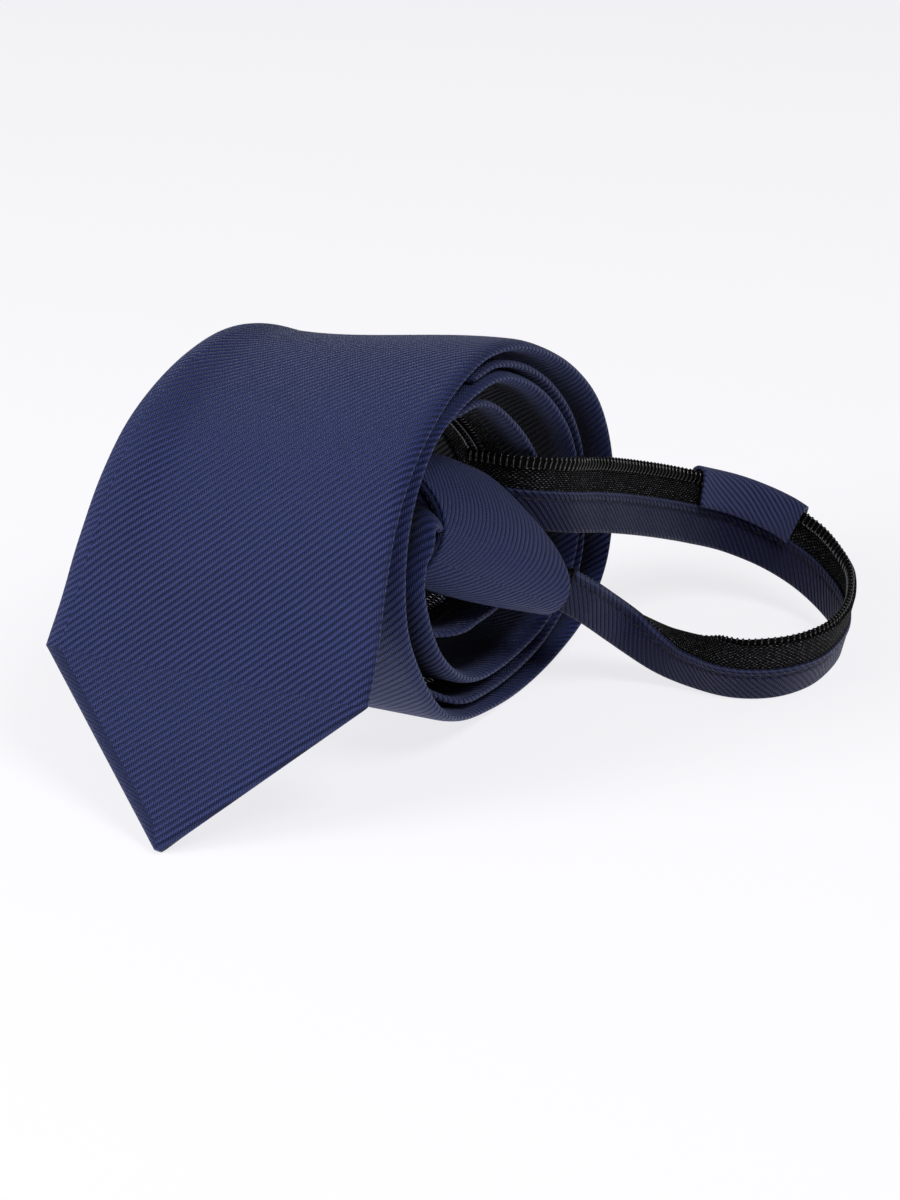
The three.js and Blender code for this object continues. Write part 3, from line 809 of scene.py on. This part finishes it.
def grown(path, tree, values, name):
    """Runs the tree on the path and returns the result as a plain mesh object."""
    modifier = path.modifiers.new("grow", "NODES")
    modifier.node_group = tree
    for item in tree.interface.items_tree:
        if item.item_type == "SOCKET" and item.in_out == "INPUT" and item.name in values:
            modifier[item.identifier] = values[item.name]
    bpy.context.view_layer.update()
    evaluated = path.evaluated_get(bpy.context.evaluated_depsgraph_get())
    mesh = bpy.data.meshes.new_from_object(evaluated)
    mesh.name = name
    obj = bpy.data.objects.new(name, mesh)
    bpy.context.scene.collection.objects.link(obj)
    path.modifiers.remove(modifier)
    bpy.data.objects.remove(path)
    print(name, len(mesh.polygons), "faces")
    return obj


def round_wire(tree, curve, radius):
    """A round wire along a curve, closed at both ends."""
    inputs = {"Resolution": WIRE_SIDES, "Radius": radius}
    ring = add_node(tree, "GeometryNodeCurvePrimitiveCircle", inputs).outputs["Curve"]
    inputs = {"Curve": curve, "Profile Curve": ring, "Fill Caps": True}
    return add_node(tree, "GeometryNodeCurveToMesh", inputs).outputs["Mesh"]


# %% Coil tree
WIRE = 0.25
WIRE_SIDES = 6
TURN_STEPS = 12


def coil_tree():
    inputs = [(label, "Float") for label in ("Width", "Thickness", "Pitch", "Wire")]
    inputs.append(("Material", "Material"))
    tree, group_in, group_out = tree_with_inputs("zipper_coil", inputs)
    size = group_in.outputs
    inputs = {"Resolution": TURN_STEPS, "Rotations": 1.0, "Height": size["Pitch"]}
    inputs |= {"Start Radius": 0.5, "End Radius": 0.5}
    turn = add_node(tree, "GeometryNodeCurveSpiral", inputs).outputs["Curve"]
    inputs = {0: size["Width"], 1: size["Thickness"], 2: 1.0}
    scale = add_node(tree, "ShaderNodeCombineXYZ", inputs).outputs[0]
    shape = add_node(tree, "GeometryNodeTransform", {"Geometry": turn, "Scale": scale})
    wire = round_wire(tree, shape.outputs["Geometry"], size["Wire"])
    on_points(tree, group_in, group_out, wire)
    return tree


coil_nodes = coil_tree()


def coil(name, points, forward, rise, width, thickness, slant=1.0):
    """slant: how far one turn climbs, as a share of the pitch; the thread's foot does the rest."""
    values = {"Width": width, "Thickness": thickness, "Pitch": slant * COIL_PITCH, "Wire": WIRE}
    values = {label: value * MM for label, value in values.items()}
    values["Material"] = coil_nylon
    return grown(path_object(name + "_path", points, forward, rise), coil_nodes, values, name)


# %% Tail coil
HALF_COIL = TAIL_COIL_WIDTH / 2
MESHED = 0.35
TURN_WIDTH = HALF_COIL + 0.1
FIRST_TURN = 0.2


def tail_coil():
    """Two rows of turns that reach past each other, one half a pitch behind the other."""
    count = int(tail_line.length / COIL_PITCH)
    parts = []
    for inset, flip, behind in ((COIL_START, 1.0, 0), (COIL_START + HALF_COIL - MESHED, -1.0, 0.5)):
        share = (np.arange(count) + FIRST_TURN + behind) / (count + 1)
        heart, side, normal, _ = tail_frame(share, inset, HALF_COIL + MESHED)
        parts.append((settled(heart), unit(np.cross(normal, side)), side * flip))
    points, forward, rise = (np.vstack([part[k] for part in parts]) for k in range(3))
    thickness = TAIL_COIL_THICKNESS - 2 * WIRE
    return coil("tail_coil_turns", points, forward, rise, TURN_WIDTH, thickness)


tail_teeth = tail_coil()
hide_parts("tail_coil")

# %% [markdown]
# ## Knot
# The knot is cloth wrapped round a former: a tapered pillow-shaped tube whose mouth, at the
# left, lets the blade out. Its rims are turned in. A bent cylinder would need sculpting to turn
# the rims, so rings run up the outside, over one rim, back down the inside and over the other,
# and the last ring joins the first. The same ribs run across it on the bias. Gathered cloth
# fills the mouth, where only its soft shape can be made out in the shade.

# %% Knot
KNOT_HEM = np.array([-14.5, 0.0064 * ROLL_DEPTH, 0.639 * ROLL_HEIGHT])
KNOT_TOP = np.array([-1.9, 0.318 * ROLL_DEPTH, 0.455 * ROLL_HEIGHT])
KNOT_AXIS = KNOT_TOP - KNOT_HEM
KNOT_TOP_ACROSS = unit(np.array([0.79, -0.17, -0.585]))
# Half sizes at the hem and at the top, and how much more the middle bulges
KNOT_HALF_WIDTH = (15.0, 18.6, 0.6)
KNOT_HALF_DEPTH = (10.4, 8.3, 1.4)
KNOT_SQUARENESS = 0.8
KNOT_WALL = 1.6
KNOT_SIDES = 128
KNOT_OUTER_STEPS = 44
KNOT_INNER_STEPS = 24
KNOT_SEAM = 0.25
KNOT_BIAS = -36.0
DOME_REACH = 2.6
DOME_DEPTH = 4.0


def knot_ring(share, shrink, along=0.0):
    """One ring at a share of the knot's length, drawn in by shrink and moved on by along."""
    bulge = math.sin(math.pi * share)
    sizes = (KNOT_HALF_WIDTH, KNOT_HALF_DEPTH)
    half = [hem + (top - hem) * share + more * bulge - shrink for hem, top, more in sizes]
    wide = unit(KNOT_HEM_ACROSS * (1 - share) + KNOT_TOP_ACROSS * share)
    deep = unit(np.cross(KNOT_AXIS, wide))
    a = np.linspace(0, 2 * math.pi, KNOT_SIDES, endpoint=False)
    x, y = (np.sign(f) * np.abs(f) ** KNOT_SQUARENESS for f in (np.cos(a), np.sin(a)))
    heart = KNOT_HEM + KNOT_AXIS * share + unit(KNOT_AXIS) * along
    return heart + (x * half[0])[:, None] * wide + (y * half[1])[:, None] * deep


def knot_mesh():
    turn = np.linspace(0, math.pi, 9)[1:-1]
    half = KNOT_WALL / 2
    rings = [knot_ring(k, 0) for k in np.linspace(0, 1, KNOT_OUTER_STEPS)]
    rings += [knot_ring(1, half - half * math.cos(t), half * math.sin(t) - half) for t in turn]
    rings += [knot_ring(k, KNOT_WALL) for k in np.linspace(1, 0, KNOT_INNER_STEPS)]
    rings += [knot_ring(0, half + half * math.cos(t), half - half * math.sin(t)) for t in turn]
    rings = np.array(rings)
    around = lengths_round(rings)
    around -= around[:, -1:] * KNOT_SEAM
    steps = np.diff(np.concatenate([rings, rings[:1]]), axis=0)
    along = np.concatenate([[0], np.cumsum(np.linalg.norm(steps, axis=2).mean(axis=1))])
    return ring_mesh("knot_cloth", rings, around, along, "joined")


def knot_filling():
    """The gathered cloth that fills the knot's mouth, a soft dome just inside the hem."""
    spread = np.sin(np.linspace(0.06, 1, 10) * math.pi / 2)
    hem = knot_ring(0.05, KNOT_WALL - 0.2)
    heart = hem.mean(axis=0)
    axis = unit(KNOT_AXIS)
    front = [heart + (hem - heart) * k - axis * DOME_REACH * (1 - k**4) for k in spread]
    deep = [heart + (hem - heart) * k + axis * DOME_DEPTH for k in spread[::-1]]
    rings = np.array(front + deep)
    along = np.linspace(0, 20, len(rings))
    return ring_mesh("knot_filling", rings, lengths_round(rings), along, "polygon")


filling = knot_filling()
filling.data.materials.append(binding_cloth)
knot = knot_mesh()
knot.data.materials.append(ribbed_cloth("knot_cloth", KNOT_BIAS, STRAP_PITCH))
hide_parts("knot")

# %% [markdown]
# ## Neck loop
# One open half of the zipper goes round the neck. Its tape is bound at the bottom in a folded
# strip of the tie's cloth, and carries the coil on the inner side of its upper edge. The strap's
# low edge follows chosen points, and each row also tells how far the binding, the tape and the
# coil lean outwards, because the strap twists between the knot and the floor.

# %% Loop line
LOOP_REACH = 57.0
LOOP_DEPTH = ROLL_DEPTH + 4.0
LOOP_HEIGHT = 0.455 * ROLL_HEIGHT + 0.8
STRAP_BINDING = 8.3
STRAP_TAPE = 6.6
STRAP_COIL = 3.0
COIL_HEIGHT = 6.2
COIL_OUT = 1.0
COIL_THICK = 1.6
BINDING_THICKNESS = 1.6
LAYER = 0.5
SLOT_FLOOR = 4.5
TAPE_TUCK = 4.55
UP = np.array([0.0, 0.0, 1.0])
# Shares of the loop's reach, depth and height, then the leans of the binding, the tape and the
# coil in degrees, and how much of the tape shows above the binding
LOOP_COLUMNS = ("binding", "tape", "coil", "shown")
LOOP_ROWS = [
    (0.151, 0.322, 0.608, -1, -108, -112, 1), (0.218, 0.373, 0.484, 2, -106, -110, 1),
    (0.309, 0.461, 0.258, 12, -98, -104, 1), (0.435, 0.499, 0.108, 13, -84, -90, 0.9),
    (0.581, 0.51, 0.043, 16, -55, -60, 0.75), (0.728, 0.512, 0.027, 19, -5, -9, 0.7),
    (0.853, 0.545, 0.027, 20, 14, 12, 0.92), (0.933, 0.616, 0.027, 21, 16, 15, 1),
    (0.961, 0.714, 0.027, 18, 15, 15, 1), (0.953, 0.812, 0.04, 13, 12, 12, 1),
    (0.898, 0.89, 0.081, 11, 11, 11, 1), (0.796, 0.945, 0.134, 13, 12, 12, 1),
    (0.67, 0.982, 0.204, 16, 15, 15, 1), (0.533, 0.992, 0.28, 17, 17, 17, 1),
    (0.396, 0.959, 0.376, 16, 16, 16, 1), (0.302, 0.878, 0.484, 14, 14, 14, 1),
    (0.225, 0.735, 0.645, 12, 12, 12, 1), (0.168, 0.576, 0.806, 12, 10, 10, 1),
    (0.104, 0.439, 0.925, 10, 5, 5, 1), (-0.018, 0.366, 0.992, 4, 2, 2, 1),
    (-0.221, 0.363, 1, 2, 1, 1, 1),
]
loop_line = Rail(
    [(x * LOOP_REACH, y * LOOP_DEPTH, z * LOOP_HEIGHT) for x, y, z, *_ in LOOP_ROWS],
    {name: [row[3 + i] for row in LOOP_ROWS] for i, name in enumerate(LOOP_COLUMNS)},
)
print("neck loop's low edge:", round(loop_line.length, 1), "mm")

# %% Strap across
PROFILE_STEPS = 160
PROFILE_SPARE = 3.0
# Where the strap starts to bend, and over how much of its height
TAPE_BEND = (STRAP_BINDING - 0.3, 1.2)
COIL_BEND = (STRAP_BINDING + 0.5 * STRAP_TAPE, 2.5)


def loop_axes(share):
    """Outward and upward directions square to the strap's run."""
    tangent = loop_line.tangent(share)
    out = unit(np.cross(tangent, UP))
    return tangent, out, unit(np.cross(out, tangent))


def leaning(out, up, degrees):
    t = np.radians(degrees)[..., None]
    return out * np.sin(t) + up * np.cos(t)


def strap_profile(share, heights):
    """Points up the strap's middle: a straight binding, then the tape bending towards the coil."""
    tangent, out, up = loop_axes(share)
    lean = {c: loop_line.flow(c, share) for c in ("binding", "tape", "coil")}
    fine = np.linspace(0, STRAP_BINDING + STRAP_TAPE + PROFILE_SPARE, PROFILE_STEPS)
    step = fine[1] - fine[0]
    bend, tip = (smooth((fine - foot) / over)[None] for foot, over in (TAPE_BEND, COIL_BEND))
    angle = lean["binding"][:, None] * (1 - bend) + lean["tape"][:, None] * bend
    angle = angle * (1 - tip) + lean["coil"][:, None] * tip
    rise = leaning(out[:, None], up[:, None], angle)
    start = loop_line.point(share)[:, None]
    climb = np.cumsum(rise[:, :-1] * step, axis=1)
    path = start + np.concatenate([np.zeros_like(start), climb], axis=1)
    heights = np.asarray(heights, float)[None]
    tucked = (1 - loop_line.flow("shown", share))[:, None] * TAPE_TUCK
    heights = heights - tucked * smooth((heights - STRAP_BINDING) / STRAP_TAPE)
    spot = np.clip(heights / step, 0, len(fine) - 1.001)
    low = spot.astype(int)
    k = (spot - low)[..., None]
    row = np.arange(len(share))[:, None]
    middle = path[row, low] * (1 - k) + path[row, low + 1] * k
    rise = unit(rise[row, low] * (1 - k) + rise[row, low + 1] * k)
    face = unit(np.cross(tangent[:, None], rise))
    return middle, rise, face, tangent


# %% [markdown]
# ## Binding and tape
# The binding is a strip of the tie's cloth folded over the tape's lower edge and stitched down,
# so its section is a deep U with the tape in its slot. The cloth stands out a little along its
# folded edge and dips where the stitches pull it in. Both show as lines of light, so they are
# modelled in the section, which every row of the strap then follows. A painted highlight line
# also runs along the folded edge.

# %% Loop binding and tape
LOOP_STEPS = 300
STITCH_LINE = 1.7
STITCH_PITCH = 2.7
STITCH_LENGTH = 1.9
THREAD_RADIUS = 0.14
# Where along the section a swelling, a dip or the painted highlight line lies, how wide and how
# high
FOLD = (STRAP_BINDING - 0.75, 0.45, 0.17)
STITCH_DIP = (STRAP_BINDING - STITCH_LINE, 0.30, -0.24)
FOLD_HIGHLIGHT = (STRAP_BINDING - 0.1, 0.14, 1.0)
FACE_COARSE = np.linspace(BINDING_THICKNESS / 2, STRAP_BINDING - 2.6, 7)
FACE_FINE = np.linspace(STRAP_BINDING - 2.35, STRAP_BINDING, 13)


def swelling(z, middle, spread, height):
    return height * np.exp(-(((z - middle) / spread) ** 2))


def folded_edge(z):
    """How far the cloth stands out along its folded edge, and the dip that the stitches pull in."""
    return swelling(z, *FOLD) + swelling(z, *STITCH_DIP)


def loop_binding():
    """The folded strip: a deep U whose slot holds the tape's lower edge."""
    half = BINDING_THICKNESS / 2
    rim = LAYER / 2
    outer = np.concatenate([FACE_COARSE, FACE_FINE])
    inner = np.linspace(STRAP_BINDING, SLOT_FLOOR, 5)
    turn = np.radians(np.linspace(0, 180, 5)[1:-1])
    bottom = np.radians(np.linspace(-90, 90, 9)[1:-1])
    face = half + folded_edge(outer)
    points = list(zip(outer[::-1], face[::-1]))
    points += [(half - half * math.cos(t), -half * math.sin(t)) for t in bottom]
    points += list(zip(outer, -face))
    points += [(STRAP_BINDING + rim * math.sin(t), -half + rim - rim * math.cos(t)) for t in turn]
    points += [(z, -half + LAYER) for z in inner] + [(z, half - LAYER) for z in inner[::-1]]
    points += [(STRAP_BINDING + rim * math.sin(t), half - rim - rim * math.cos(t)) for t in turn]
    points = np.array(points)
    share = np.linspace(0, 1, LOOP_STEPS)
    middle, _, face, _ = strap_profile(share, np.clip(points[:, 0], 0, None))
    rings = middle + face * points[None, :, 1:]
    # The painted highlight line along the folded edge, on the faces only
    on_face = np.abs(points[:, 1]) > half - 0.3
    edge = np.tile(swelling(points[:, 0], *FOLD_HIGHLIGHT) * on_face, (LOOP_STEPS, 1))
    along = share * loop_line.length
    return ring_mesh("loop_cloth", rings, lengths_round(points), along, "polygon", edge=edge)


# %% Loop tape
def band_between(name, low, high, thickness, across, push=0.0):
    """A flat band up the strap from low to high, moved outwards by push."""
    r = thickness / 2
    flat = np.linspace(low + r, high - r, across + 1)
    turn = np.radians(np.linspace(-90, 90, 5)[1:-1])
    points = [(z, -r) for z in flat]
    points += [(high - r + r * math.cos(t), r * math.sin(t)) for t in turn]
    points += [(z, r) for z in flat[::-1]]
    points += [(low + r - r * math.cos(t), -r * math.sin(t)) for t in turn]
    points = np.array(points)
    share = np.linspace(0, 1, LOOP_STEPS)
    middle, _, face, _ = strap_profile(share, points[:, 0])
    rings = middle + face * (points[None, :, 1:] + push)
    return ring_mesh(name, rings, lengths_round(points), share * loop_line.length)


LOOP_BIAS = 42.0
# The strap binding's navy is painted darker, for its shade
loop_navy = ribbed_cloth("loop_binding", LOOP_BIAS, STRAP_PITCH, navy=NAVY_DEEP, shine=1.6)
loop_cloth = loop_binding()
loop_cloth.data.materials.append(loop_navy)
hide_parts("loop_binding")
tape_low, tape_high = SLOT_FLOOR + 0.3, STRAP_BINDING + STRAP_TAPE
loop_tape = band_between("loop_tape_woven", tape_low, tape_high, WOVEN_THICKNESS, 10)
loop_tape.data.materials.append(tape_cloth)
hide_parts("loop_tape")


# %% Loop coil
COIL_MIDDLE = STRAP_BINDING + COIL_HEIGHT
LOOP_SLANT = 0.3
CORD_THICKNESS = COIL_THICK - 2.2 * WIRE


def coil_rows(share):
    middle, rise, face, tangent = strap_profile(share, [COIL_MIDDLE])
    return middle[:, 0] - face[:, 0] * COIL_OUT, tangent, -rise[:, 0]


def loop_coil():
    """Turns evenly spaced along the coil's own line, which is longer than the strap's low edge."""
    fine = np.linspace(0, 1, 1500)
    length = lengths_along(coil_rows(fine)[0])
    count = int(length[-1] / COIL_PITCH)
    share = np.interp((np.arange(count) + 0.5) * COIL_PITCH, length, fine)
    size = (STRAP_COIL - 2 * WIRE, COIL_THICK - 2 * WIRE)
    return coil("loop_coil_turns", *coil_rows(share), *size, slant=LOOP_SLANT)


# The cord that runs inside the coil
core_low = COIL_MIDDLE - STRAP_COIL / 2 + 2.2 * WIRE
core_high = COIL_MIDDLE + STRAP_COIL / 2 - 1.2 * WIRE
loop_core = band_between("loop_coil_core", core_low, core_high, CORD_THICKNESS, 4, -COIL_OUT)
loop_core.data.materials.append(core_cord)
loop_teeth = loop_coil()
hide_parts("loop_coil")


# %% Stitch tree
def stitch_tree():
    """A short thread that arches over the cloth from one hole to the next."""
    inputs = [("Length", "Float"), ("Thread", "Float"), ("Material", "Material")]
    tree, group_in, group_out = tree_with_inputs("stitches", inputs)
    size = group_in.outputs
    arch = {"Middle": {0: size["Thread"]}}
    for label, share in (("Start", -0.5), ("End", 0.5)):
        arch[label] = {2: times(tree, size["Length"], share)}
    for label, place in arch.items():
        arch[label] = add_node(tree, "ShaderNodeCombineXYZ", place).outputs[0]
    arc = add_node(tree, "GeometryNodeCurveQuadraticBezier", {"Resolution": 5, **arch})
    wire = round_wire(tree, arc.outputs["Curve"], size["Thread"])
    on_points(tree, group_in, group_out, wire)
    return tree


def strap_stitches():
    """A row of stitches on each face of the binding, a little above the cloth."""
    count = int(loop_line.length / STITCH_PITCH)
    share = (np.arange(count) + 0.5) / count
    stitch_height = STRAP_BINDING - STITCH_LINE
    middle, _, face, tangent = strap_profile(share, [stitch_height])
    lift = BINDING_THICKNESS / 2 + folded_edge(stitch_height) + 0.02
    points = np.vstack([middle[:, 0] + face[:, 0] * lift * side for side in (1, -1)])
    rise = np.vstack([face[:, 0] * side for side in (1, -1)])
    path = path_object("stitches_path", points, np.vstack([tangent, tangent]), rise)
    values = {"Length": STITCH_LENGTH * MM, "Thread": THREAD_RADIUS * MM, "Material": stitch_thread}
    return grown(path, stitch_tree(), values, "strap_stitches")


stitch_thread = one_colour("dark_thread", (0.004, 0.0045, 0.014, 1.0), 0.45)
stitches = strap_stitches()

# %% [markdown]
# ## Keeper sleeve
# A short tube of cloth is slipped over the coil and the tape. It is a channel, open below, so
# its section is drawn once, up one side, over the coil and down the other, with a real wall,
# and set square on the strap at every row.

# %% Keeper sleeve
SLEEVE = (0.552, 0.664)
SLEEVE_STEPS = 60
SLEEVE_WALL = 0.8
SLEEVE_INSIDE = 1.55
SLEEVE_BACK = 0.8
SLEEVE_FOOT = 0.2
SLEEVE_ROOM = 0.25
SLEEVE_SEAT = STRAP_BINDING + 0.6
SLEEVE_BIAS = 55.0


def sleeve_mesh():
    low = STRAP_BINDING - SLEEVE_FOOT
    roof = COIL_MIDDLE + STRAP_COIL / 2 + SLEEVE_ROOM
    out = SLEEVE_INSIDE + SLEEVE_WALL
    shoulder = roof - SLEEVE_INSIDE
    turn = np.radians(np.linspace(0, 180, 15))
    rise = np.linspace(0, shoulder - low, 5)[:-1]
    points = [(low + k, -out) for k in rise]
    points += [(shoulder + out * math.sin(t), -out * math.cos(t)) for t in turn]
    points += [(low + k, out) for k in rise[::-1]]
    points += [(low + k, SLEEVE_INSIDE) for k in rise]
    points += [(shoulder + SLEEVE_INSIDE * math.sin(t), SLEEVE_INSIDE * math.cos(t)) for t in turn]
    points += [(low + k, -SLEEVE_INSIDE) for k in rise[::-1]]
    points = np.array(points)
    share = np.linspace(SLEEVE[0], SLEEVE[1], SLEEVE_STEPS)
    middle, rise, face, _ = strap_profile(share, [SLEEVE_SEAT])
    rings = middle + rise * (points[None, :, :1] - SLEEVE_SEAT)
    rings = rings + face * (points[None, :, 1:] - SLEEVE_BACK)
    return ring_mesh("sleeve_cloth", rings, lengths_round(points), share * loop_line.length)


sleeve = sleeve_mesh()
# The sleeve's navy is painted lighter, for the light on it
sleeve_cloth = ribbed_cloth("sleeve_cloth", SLEEVE_BIAS, STRAP_PITCH, navy=NAVY_LIT, shine=2.6)
sleeve.data.materials.append(sleeve_cloth)
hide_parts("keeper_sleeve")

# %% [markdown]
# ## Floor and light
# The tie lies on a pale, even surface whose edge is nowhere to be seen. A card that is lit hard
# enough to look so pale would also light the cloth from below, so this one is darker and glows a
# little itself. A large soft lamp at the front left does most of the work, a smaller one from
# high on the right lifts the knot and the strap, and a faint one overhead and the dim world fill
# the shadows.

# %% Floor
FLOOR_SIZE = 6.0
CARD = (0.24, 0.24, 0.245, 1.0)
CARD_GLOW = (0.975, 0.97, 1.0, 1.0)
CARD_GLOW_STRENGTH = 0.80

bpy.ops.mesh.primitive_plane_add(size=FLOOR_SIZE, location=(0, 0, 0))
floor = bpy.context.object
floor.name = "floor"
card = one_colour("pale_card", CARD, 0.9)
card_shader = card.node_tree.nodes["Principled BSDF"]
card_shader.inputs["Emission Color"].default_value = CARD_GLOW
card_shader.inputs["Emission Strength"].default_value = CARD_GLOW_STRENGTH
floor.data.materials.append(card)
print("floor", FLOOR_SIZE, "m wide")

# %% Light
# Place and aim in metres, width in metres and power in watts
LAMPS = {
    "overhead": ((0.05, 0.15, 1.1), (0, 0, 0), 1.1, 0.3),
    "front_left": ((-0.78, -0.85, 0.48), (0, 0, 0.03), 0.6, 12.6),
    "right_fill": ((0.6, -0.3, 0.95), (0, 0, 0.03), 0.5, 5.4),
}
WORLD_COLOUR = (0.96, 0.97, 1.0, 1.0)
WORLD_STRENGTH = 0.12


def area_light(name, place, aim, size, power):
    data = bpy.data.lights.new(name, "AREA")
    data.shape = "DISK"
    data.size = size
    data.energy = power
    light = bpy.data.objects.new(name, data)
    light.location = place
    light.rotation_euler = (Vector(place) - Vector(aim)).to_track_quat("Z", "Y").to_euler()
    bpy.context.scene.collection.objects.link(light)
    print(name, power, "W")


for name, values in LAMPS.items():
    area_light(name, *values)
world = bpy.data.worlds.new("studio")
world.use_nodes = True
world.node_tree.nodes["Background"].inputs[0].default_value = WORLD_COLOUR
world.node_tree.nodes["Background"].inputs[1].default_value = WORLD_STRENGTH
bpy.context.scene.world = world
bpy.context.scene.view_settings.view_transform = "Standard"

# %% [markdown]
# ## Pieces on the root
# Every dressed piece rides on the root body. The blade is widest at its corners and narrow in
# the knot, so its area is less than that of its rectangle.

# %% Attach to the root
pieces = [blade, knot, filling, tail_teeth, loop_cloth, loop_tape, loop_core, loop_teeth]
pieces += [stitches, sleeve, *tail_pieces.values()]
for piece in pieces:
    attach(piece, "root")
print(len(pieces), "pieces ride on the root")
